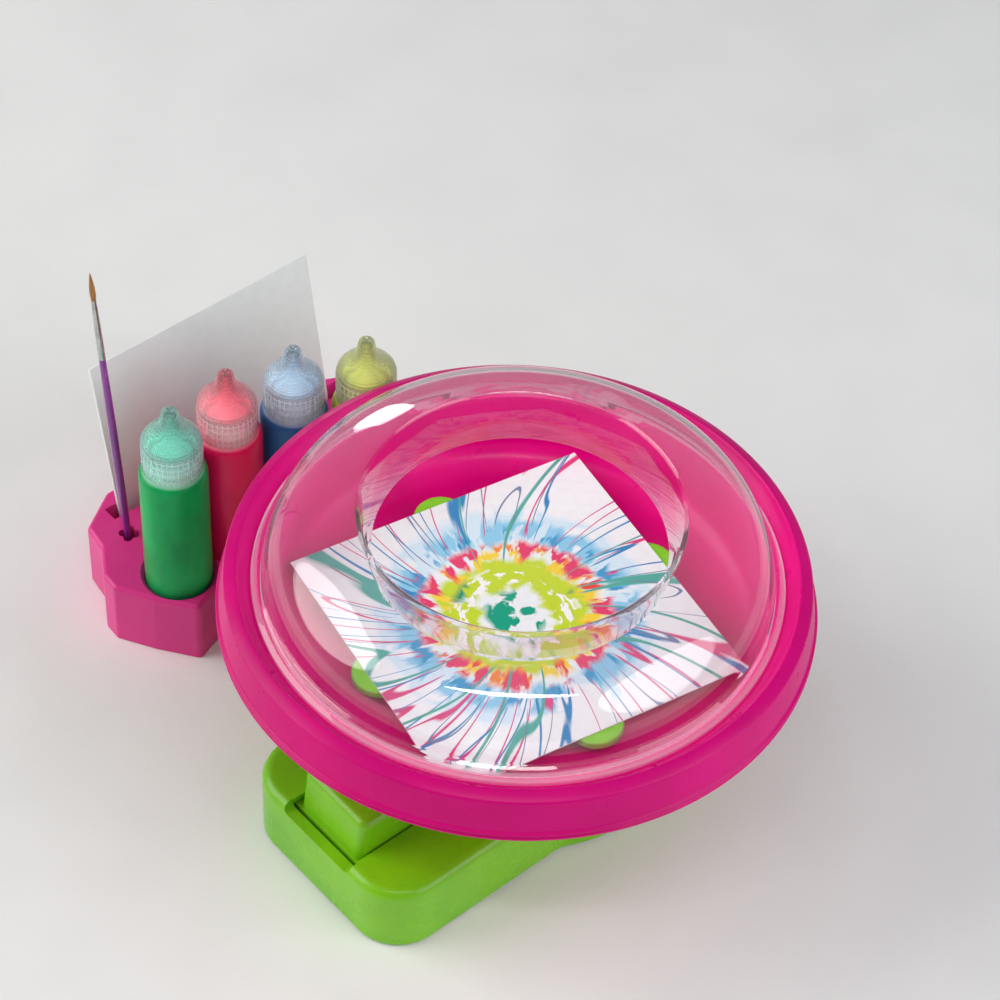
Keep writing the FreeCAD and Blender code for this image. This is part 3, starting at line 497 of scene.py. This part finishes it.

# ---------------------------------------------------------------- paint rack
# A separate moulding of a slightly paler and duller magenta ABS, with wells for the bottles, a slot for the
# spare cards and a four-lobed hole for the brush. Its pink is paler than the bowl's partly of its own, and
# partly as painted sheen for the sheen that lies on the rack's top.
RACK_MAIN_WITH_SHEEN = "#EC3C94"
RACK_DEEP_WITH_SHEEN = "#E0308A"

dress(moulded_plastic("magenta_abs_with_painted_sheen", RACK_MAIN_WITH_SHEEN, RACK_DEEP_WITH_SHEEN, 0.26, shine=0.4), "paint_rack")

# ---------------------------------------------------------------- paint bottles
# Soft polyethylene squeeze bottles filled with paint, each with a cone-shaped dropper plug and a ribbed screw
# cap of translucent polypropylene that takes its tint from the paint.
BOTTLE_SIDES = 72
PLUG_SIDES = 48
RIBS = 36
BOTTLE_SECTION = [
    # wall and shoulder, thread on the neck, and back down the inside
    (11.0, 5.0), (12.0, 6.2), (12.0, 77.6), (11.8, 78.6), (11.4, 79.4), (10.6, 80.1), (9.6, 80.6),
    (8.4, 81.0), (8.4, 82.6), (8.9, 83.0), (8.9, 83.6), (8.4, 84.0), (8.4, 85.4), (8.9, 85.8),
    (8.9, 86.4), (8.4, 86.8), (8.4, 88.2), (8.9, 88.6), (8.9, 89.2), (8.4, 89.6), (8.4, 91.0),
    (7.4, 91.0), (7.4, 79.5), (9.4, 77.6), (10.9, 75.6), (10.9, 6.4)]
PLUG_SECTION = [
    # foot and flange, cone, and back down the hole
    (0.8, 89.0), (7.35, 89.0), (7.35, 91.0), (8.4, 91.0), (8.4, 92.2), (7.4, 93.1), (6.0, 94.4),
    (4.9, 95.5), (4.2, 96.4), (3.5, 97.4), (2.9, 98.6), (2.4, 99.8), (2.0, 101.0), (1.65, 102.4),
    (1.4, 103.6), (0.6, 103.6), (0.7, 100.6), (1.7, 98.0), (3.0, 95.6), (5.0, 92.4), (5.6, 91.0),
    (0.8, 91.0)]
CAP_SECTION = [
    # outside, up to the tip
    (10.4, 81.2), (10.4, 92.2), (10.3, 93.0), (10.0, 94.0), (9.6, 94.8), (9.0, 95.6), (8.4, 96.2),
    (7.6, 96.9), (6.4, 97.9), (5.4, 98.8), (4.6, 99.8), (4.0, 101.0), (3.55, 102.2), (3.2, 103.4),
    (2.85, 104.9), (2.5, 106.4), (2.3, 106.8), (1.8, 107.0), (0.6, 107.0),
    # inside, down to the skirt
    (0.6, 105.2), (1.8, 104.8), (2.2, 103.0), (2.55, 101.6), (3.0, 100.4), (3.6, 99.2), (4.4, 98.2),
    (5.4, 97.2), (6.6, 96.3), (7.4, 95.7), (8.0, 95.0), (8.6, 94.2), (9.0, 93.2), (9.2, 91.8),
    (9.2, 81.2)]
THREAD_PITCH = 2.8
SKIRT_TOP = 92.4
RIB_TOP = 92.0
RIB_LOW = 81.6
RIB_FROM = 9.9               # least radius of the faces that carry ribs
RIB_HEIGHT = 0.3
RIB_LINE = (0.30, 0.55)      # where the white line starts in half a rib's width, and how white it is
THREAD_LINE = (0.34, 0.60)
LINE_SOFT = 0.12
FILL_LEVEL = 79.6            # the paint reaches this height, the neck above is bare polyethylene
FILL_FADE = 1.6
PAINT_CLOUD = 12.0           # mm, where the paint has begun to settle
PLUG_MOTTLE = 6.0            # mm
CAP_HAZE = 0.14
CAP_EDGE_HAZE = 0.5
CAP_GLOSS_IOR = 1.3
PAINT_BOTTLES = {
    # paint lit, paint deep, dropper plug, cap tint
    "green": ("#08B460", "#00964E", "#6CDCC4", "#D2F2EC"),
    "pink": ("#FF1E6C", "#F00A5C", "#FF7890", "#FFC4CE"),
    "blue": ("#2F6CA8", "#225894", "#B4D8EE", "#EAF2FA"),
    "yellow": ("#D9E13A", "#C6D02A", "#DCE36A", "#F4F6D2"),
}


def filled_bottle(name, main, deep, bare):
    """Paint seen through soft polyethylene: strong colour under a waxy skin, and pale plastic at the neck."""
    material, shader = new_material(name, Coat_Weight=0.12, Coat_Roughness=0.15, Specular_IOR_Level=0.2)
    links = material.node_tree.links
    place = add_node(material, "TexCoord").outputs["Object"]
    settled, tint = mottle(material, place, PAINT_CLOUD, deep, main, squeeze=0.5)
    height = add_node(material, "SeparateXYZ", links={0: place}).outputs["Z"]
    above = add_node(material, "MapRange", {"From Min": mm(FILL_LEVEL),
                                            "From Max": mm(FILL_LEVEL + FILL_FADE)}, {"Value": height})
    seen = add_node(material, "Mix", {"data_type": "RGBA", 7: colour(bare)},
                    {0: above.outputs["Result"], 6: tint})
    links.new(seen.outputs[2], shader.inputs["Base Color"])
    waxy = add_node(material, "MapRange", {"To Min": 0.24, "To Max": 0.4}, {"Value": settled})
    links.new(waxy.outputs["Result"], shader.inputs["Roughness"])
    return material


def cap_marks(material, place, well):
    """Where a cap looks whitest, as a mask: along its ribs, and along the thread that shows through."""
    about = add_node(material, "VectorMath", {"operation": "SUBTRACT", 1: well}, {0: place})
    split = add_node(material, "SeparateXYZ", links={0: about.outputs["Vector"]})
    angle = add_node(material, "Math", {"operation": "ARCTAN2"},
                     {0: split.outputs["Y"], 1: split.outputs["X"]})
    turns = add_node(material, "Math", {"operation": "DIVIDE", 1: math.tau}, {0: angle.outputs["Value"]})
    coil = add_node(material, "Math", {"operation": "MULTIPLY_ADD", 1: per_mm(THREAD_PITCH)},
                    {0: split.outputs["Z"], 2: turns.outputs["Value"]})
    ribs = add_node(material, "Math", {"operation": "MULTIPLY", 1: RIBS}, {0: turns.outputs["Value"]})
    lines = []
    for wave, (start, strength) in ((ribs, RIB_LINE), (coil, THREAD_LINE)):
        saw = add_node(material, "Math", {"operation": "PINGPONG", 1: 0.5}, {0: wave.outputs["Value"]})
        lines.append(add_node(material, "MapRange", {"From Min": start, "From Max": start + LINE_SOFT,
                                                     "To Max": strength}, {"Value": saw.outputs["Value"]}))
    either = add_node(material, "Math", {"operation": "MAXIMUM"},
                      {0: lines[0].outputs["Result"], 1: lines[1].outputs["Result"]})
    skirt = add_node(material, "Math", {"operation": "LESS_THAN", 1: mm(SKIRT_TOP)}, {0: split.outputs["Z"]})
    return add_node(material, "Math", {"operation": "MULTIPLY"},
                    {0: either.outputs["Value"], 1: skirt.outputs["Value"]}).outputs["Value"]


def rib(cap):
    """Raises every second strip of the cap's straight side as a grip rib."""
    for face in cap.data.polygons:
        out = Vector((face.center.x, face.center.y, 0))
        strip = int(((math.atan2(out.y, out.x) / math.tau) % 1.0) * 2 * RIBS)
        reaches_up = max(cap.data.vertices[v].co.z for v in face.vertices) > mm(RIB_LOW + 5)
        straight = reaches_up and face.center.z < mm(RIB_TOP) and out.length > mm(RIB_FROM)
        face.select = straight and strip % 2 == 0
    bpy.ops.object.mode_set(mode="EDIT")
    bpy.ops.mesh.extrude_faces_move(TRANSFORM_OT_shrink_fatten={"value": mm(RIB_HEIGHT)})
    bpy.ops.object.mode_set(mode="OBJECT")


def copied(model, name, place):
    """A copy of a model with a mesh of its own, moved to its place, with its origin left at the frame's."""
    bpy.ops.object.select_all(action="DESELECT")
    piece = model.copy()
    piece.data = model.data.copy()
    piece.name = piece.data.name = name
    bpy.context.scene.collection.objects.link(piece)
    bpy.context.view_layer.objects.active = piece
    piece.select_set(True)
    piece.location = place
    bpy.ops.object.transform_apply(location=True)
    return piece


bottle_model = turned("bottle_model", BOTTLE_SECTION, BOTTLE_SIDES)
plug_model = turned("plug_model", PLUG_SECTION, PLUG_SIDES, 0, capped=False)
cap_model = turned("cap_model", CAP_SECTION, 2 * RIBS, 0, capped=False)
rib(cap_model)
for paint, (body_lit, body_deep, plug_tint, cap_tint) in PAINT_BOTTLES.items():
    low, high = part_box(f"bottle_{paint}")
    well = ((low.x + high.x) / 2, (low.y + high.y) / 2, 0)
    body = copied(bottle_model, f"{paint}_bottle", well)
    skin = filled_bottle(f"{paint}_paint_in_polyethylene", body_lit, body_deep, cap_tint)
    fit(body, skin, f"paint_{paint}", f"{paint}_paint_bottle", f"bottle_{paint}")
    plug = copied(plug_model, f"{paint}_dropper_plug", well)
    tinted = speckled(f"{paint}_tinted_polyethylene", plug_tint, plug_tint, PLUG_MOTTLE, Roughness=0.4)
    fit(plug, tinted, f"paint_{paint}", "soft_nozzle_plastic", f"nozzle_{paint}")
    cap = copied(cap_model, f"{paint}_cap", well)
    milky = clear_plastic(f"{paint}_tinted_polypropylene", cap_tint, CAP_HAZE, CAP_EDGE_HAZE, CAP_GLOSS_IOR,
                          "#FFFFFF", lambda material, place: cap_marks(material, place, well))
    fit(cap, milky, f"lid_{paint}", "clear_plastic", f"cap_{paint}")
for model in (bottle_model, plug_model, cap_model):
    bpy.data.meshes.remove(model.data)

# ---------------------------------------------------------------- brush
# A thin round brush: lacquered purple wooden handle, rolled nickel-plated ferrule with two crimps, and a
# pointed tuft of brown hair.
PURPLE_LIT = "#962EA2"
PURPLE_DEEP = "#7C2088"
NICKEL_BRIGHT = "#D4D6DA"
NICKEL_DULL = "#A6A9AE"
HAIR_LIGHT = "#C98A3A"
HAIR_DARK = "#8A561E"
WOOD_GRAIN = 0.7             # mm
HAIR_WIDTH = 0.22            # mm, drawn a little coarser than real hair
BRUSH_SIDES = 24
BRUSH_FOOT = Vector(mm(-148.6, -51.0, 5.0))
BRUSH_TIP = Vector(mm(-151.2, -57.2, 153.5))
BRUSH_LENGTH = (BRUSH_TIP - BRUSH_FOOT).length * 1000
FERRULE_LOW = BRUSH_LENGTH - 39.0
FERRULE_TOP = BRUSH_LENGTH - 12.0
HANDLE_SECTION = [(0.4, 0.0), (0.7, 0.3), (1.0, 5.0), (1.2, 12.0), (1.38, 24.0), (1.5, 45.0), (1.5, 75.0),
                  (1.36, 92.0), (1.15, FERRULE_LOW)]
FERRULE_SECTION = [(1.2, FERRULE_LOW), (1.25, FERRULE_LOW + 0.8), (1.12, FERRULE_LOW + 1.6),
                   (1.25, FERRULE_LOW + 2.4), (1.12, FERRULE_LOW + 3.2), (1.22, FERRULE_LOW + 4.0),
                   (1.1, FERRULE_LOW + 15.0), (0.9, FERRULE_TOP)]
HAIR_SECTION = [(0.85, FERRULE_TOP), (1.02, FERRULE_TOP + 2.0), (1.05, FERRULE_TOP + 3.4),
                (0.92, FERRULE_TOP + 6.0), (0.66, FERRULE_TOP + 8.6), (0.34, FERRULE_TOP + 10.8),
                (0.1, BRUSH_LENGTH)]


def along_brush(name, section, edge=0.1):
    """Turns a part of the brush upright at the middle of the frame, then tips it into its place."""
    part = turned(name, section, BRUSH_SIDES, edge)
    part.rotation_euler = Vector((0, 0, 1)).rotation_difference(BRUSH_TIP - BRUSH_FOOT).to_euler()
    part.location = BRUSH_FOOT
    bpy.ops.object.transform_apply()
    return part


def lacquered_wood(name, main, deep):
    """Dipped lacquer over turned wood: deep even colour with a faint long grain, and a hard gloss on top."""
    material, shader = new_material(name, Roughness=0.3, Coat_Weight=1.0, Coat_Roughness=0.06)
    place = add_node(material, "TexCoord").outputs["Object"]
    tint = mottle(material, place, WOOD_GRAIN, deep, main, squeeze=0.06)[1]
    material.node_tree.links.new(tint, shader.inputs["Base Color"])
    return material


def brush_hair(name, light, dark):
    """Tied hair: fine strands along the tuft, lighter and darker, with a soft sheen."""
    material, shader = new_material(name, Roughness=0.55, Sheen_Weight=0.3)
    links = material.node_tree.links
    place = add_node(material, "TexCoord").outputs["Object"]
    strands, tint = mottle(material, place, HAIR_WIDTH, dark, light, (0.38, 0.62), 2.0, 0.05)
    links.new(tint, shader.inputs["Base Color"])
    bump = add_node(material, "Bump", {"Strength": 0.8, "Distance": mm(0.1)}, {"Height": strands})
    links.new(bump.outputs["Normal"], shader.inputs["Normal"])
    return material


handle = along_brush("brush_wood", HANDLE_SECTION)
purple_wood = lacquered_wood("purple_lacquered_wood", PURPLE_LIT, PURPLE_DEEP)
fit(handle, purple_wood, "brush", "purple_wood", "brush_handle")
ferrule = along_brush("brush_crimped_ferrule", FERRULE_SECTION, edge=0)
nickel = drawn_metal("nickel_plated_brass", NICKEL_BRIGHT, NICKEL_DULL, 0.5, 0.18)
fit(ferrule, nickel, "brush", "ferrule_metal", "brush_ferrule")
tuft = along_brush("brush_tuft", HAIR_SECTION, edge=0)
fit(tuft, brush_hair("brown_hair", HAIR_LIGHT, HAIR_DARK), "brush", "brush_hair", "brush_bristles")

# ---------------------------------------------------------------- spare cards
# Three blank cards of white coated board stand in the rack's leaning slot, not quite flush with each other.
# Their faces have a faint mottle, and their cut edges are bare.
BOARD_WHITE = "#F4F9F7"
BOARD_BRIGHT = "#F9FCFB"
BOARD_MOTTLE = 5.0           # mm
STACK_PLACES = [(0.0, 95.6), (0.5, 95.2), (0.2, 95.5)]   # start along the slot and width of each card, mm
BOARD = 0.5                  # thickness of a card
BOARD_PITCH = 0.6            # from one card's middle to the next one's
BOARD_LOWER = 0.4            # how much lower each card's top edge is than the one before
LEAN = math.radians(10.9)
STACK_THICK = 1.9

low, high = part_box("spare_cards")
stack_rise = mm(STACK_THICK) * math.sin(LEAN)
card_height = (high.z - low.z - stack_rise) / math.cos(LEAN)
lean_out = Vector((math.cos(LEAN), 0, math.sin(LEAN)))
lean_up = Vector((-math.sin(LEAN), 0, math.cos(LEAN)))
foot = Vector((high.x, 0, low.z + stack_rise))
white_board = speckled("white_coated_board", BOARD_WHITE, BOARD_BRIGHT, BOARD_MOTTLE, Roughness=0.5)
for number, (start, width) in enumerate(STACK_PLACES):
    back = mm(BOARD / 2 + number * BOARD_PITCH)
    tall = card_height - mm(BOARD_LOWER * number)
    centre = foot - lean_out * back + lean_up * tall / 2
    centre.y = low.y + mm(start + width / 2)
    bpy.ops.object.select_all(action="DESELECT")
    bpy.ops.mesh.primitive_cube_add(size=1, location=centre, rotation=(0, -LEAN, 0),
                                    scale=(mm(BOARD), mm(width), tall))
    card = bpy.context.object
    card.name = card.data.name = f"spare_card_{number + 1}"
    bpy.ops.object.transform_apply()
    trimmed = card.modifiers.new("trimmed", "BEVEL")
    trimmed.width = mm(0.1)
    trimmed.segments = 2
    bpy.ops.object.modifier_apply(modifier="trimmed")
    bpy.ops.object.shade_smooth_by_angle(angle=math.radians(30))
    card.data.materials.append(white_board)
    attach(card, "cards")
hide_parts("spare_cards")

# ---------------------------------------------------------------- table, light and camera
# The toy stands on a plain pale table under one large soft lamp from the lever side and a weaker one from
# the opposite side. Two small lamps put the streak and the front band on the cover. The room is pale to look
# at, but lights the toy only weakly.
TABLE_WHITE = "#FCFCFB"
TABLE_SHADE = "#F8F8F7"
TABLE_MOTTLE = 40.0          # mm
TABLE_RADIUS = 1300.0
TABLE_GAP = 0.2              # the table's face lies this far below the feet
LAMPS = [
    # name, place, width and height of the oval in metres, power in watts, tint
    ("key_lamp", (-0.95, -1.00, 0.85), (1.4, 1.4), 16.0, "#FFFEFA"),
    ("fill_lamp", (1.05, 0.45, 0.75), (1.2, 1.2), 8.5, "#F8FBFF"),
    ("back_lamp", (-1.00, 0.42, 0.25), (0.18, 0.14), 0.38, "#FFFFFF"),
    ("strip_lamp", (0.42, -0.40, 1.20), (0.9, 0.08), 2.1, "#FFFFFF"),
]
LAMPS_FACE = Vector((0, 0, 0.08))    # the point that all lamps are turned to, in metres
ROOM_TINT = "#F6F8FA"
ROOM_LIGHT = 0.25            # strength of the room as a light
ROOM_SEEN = 0.88             # and as a background, straight or through clear plastic
CAMERA_PLACE = Vector((0.4720, -0.4487, 0.8172))     # metres
CAMERA_AIM = Vector((-0.0376, 0.0251, 0.0850))       # metres
CAMERA_ROLL = math.radians(3.01)
CAMERA_LENS = 108.0
CAMERA_SENSOR = 36.0

bpy.ops.object.select_all(action="DESELECT")
bpy.ops.mesh.primitive_circle_add(vertices=96, radius=mm(TABLE_RADIUS), fill_type="NGON",
                                  location=(0, 0, cad_box[0][2] - mm(TABLE_GAP)))
table = bpy.context.object
table.name = "table_top"
table.data.materials.append(speckled("matt_white_table", TABLE_WHITE, TABLE_SHADE, TABLE_MOTTLE,
                                     Roughness=0.8))

for name, place, (width, height), power, tint in LAMPS:
    lamp = bpy.data.lights.new(name, "AREA")
    lamp.shape = "ELLIPSE"
    lamp.size = width
    lamp.size_y = height
    lamp.energy = power
    lamp.color = colour(tint)[:3]
    held = bpy.data.objects.new(name, lamp)
    bpy.context.scene.collection.objects.link(held)
    held.location = place
    held.rotation_euler = (LAMPS_FACE - Vector(place)).to_track_quat("-Z", "Y").to_euler()

world = bpy.data.worlds.new("soft_room")
bpy.context.scene.world = world
world.use_nodes = True
room = world.node_tree.nodes["Background"]
room.inputs["Color"].default_value = colour(ROOM_TINT)
ray = add_node(world, "LightPath")
straight = add_node(world, "Math", {"operation": "MAXIMUM"},
                    {0: ray.outputs["Is Camera Ray"], 1: ray.outputs["Is Transmission Ray"]})
unscattered = add_node(world, "Math", {"operation": "LESS_THAN", 1: 0.5}, {0: ray.outputs["Diffuse Depth"]})
seen = add_node(world, "Math", {"operation": "MULTIPLY"},
                {0: straight.outputs["Value"], 1: unscattered.outputs["Value"]})
seen_or_lit = add_node(world, "MapRange", {"To Min": ROOM_LIGHT, "To Max": ROOM_SEEN},
                       {"Value": seen.outputs["Value"]})
world.node_tree.links.new(seen_or_lit.outputs["Result"], room.inputs["Strength"])

camera_data = bpy.data.cameras.new("camera")
camera_data.lens = CAMERA_LENS
camera_data.sensor_width = CAMERA_SENSOR
camera = bpy.data.objects.new("camera", camera_data)
bpy.context.scene.collection.objects.link(camera)
ahead = (CAMERA_AIM - CAMERA_PLACE).normalized()
level_right = ahead.cross(Vector((0, 0, 1))).normalized()
level_up = level_right.cross(ahead)
right = math.cos(CAMERA_ROLL) * level_right + math.sin(CAMERA_ROLL) * level_up
up = math.cos(CAMERA_ROLL) * level_up - math.sin(CAMERA_ROLL) * level_right
camera.matrix_world = Matrix.Translation(CAMERA_PLACE) @ Matrix((right, up, -ahead)).transposed().to_4x4()
bpy.context.scene.camera = camera
bpy.context.scene.view_settings.view_transform = "Standard"
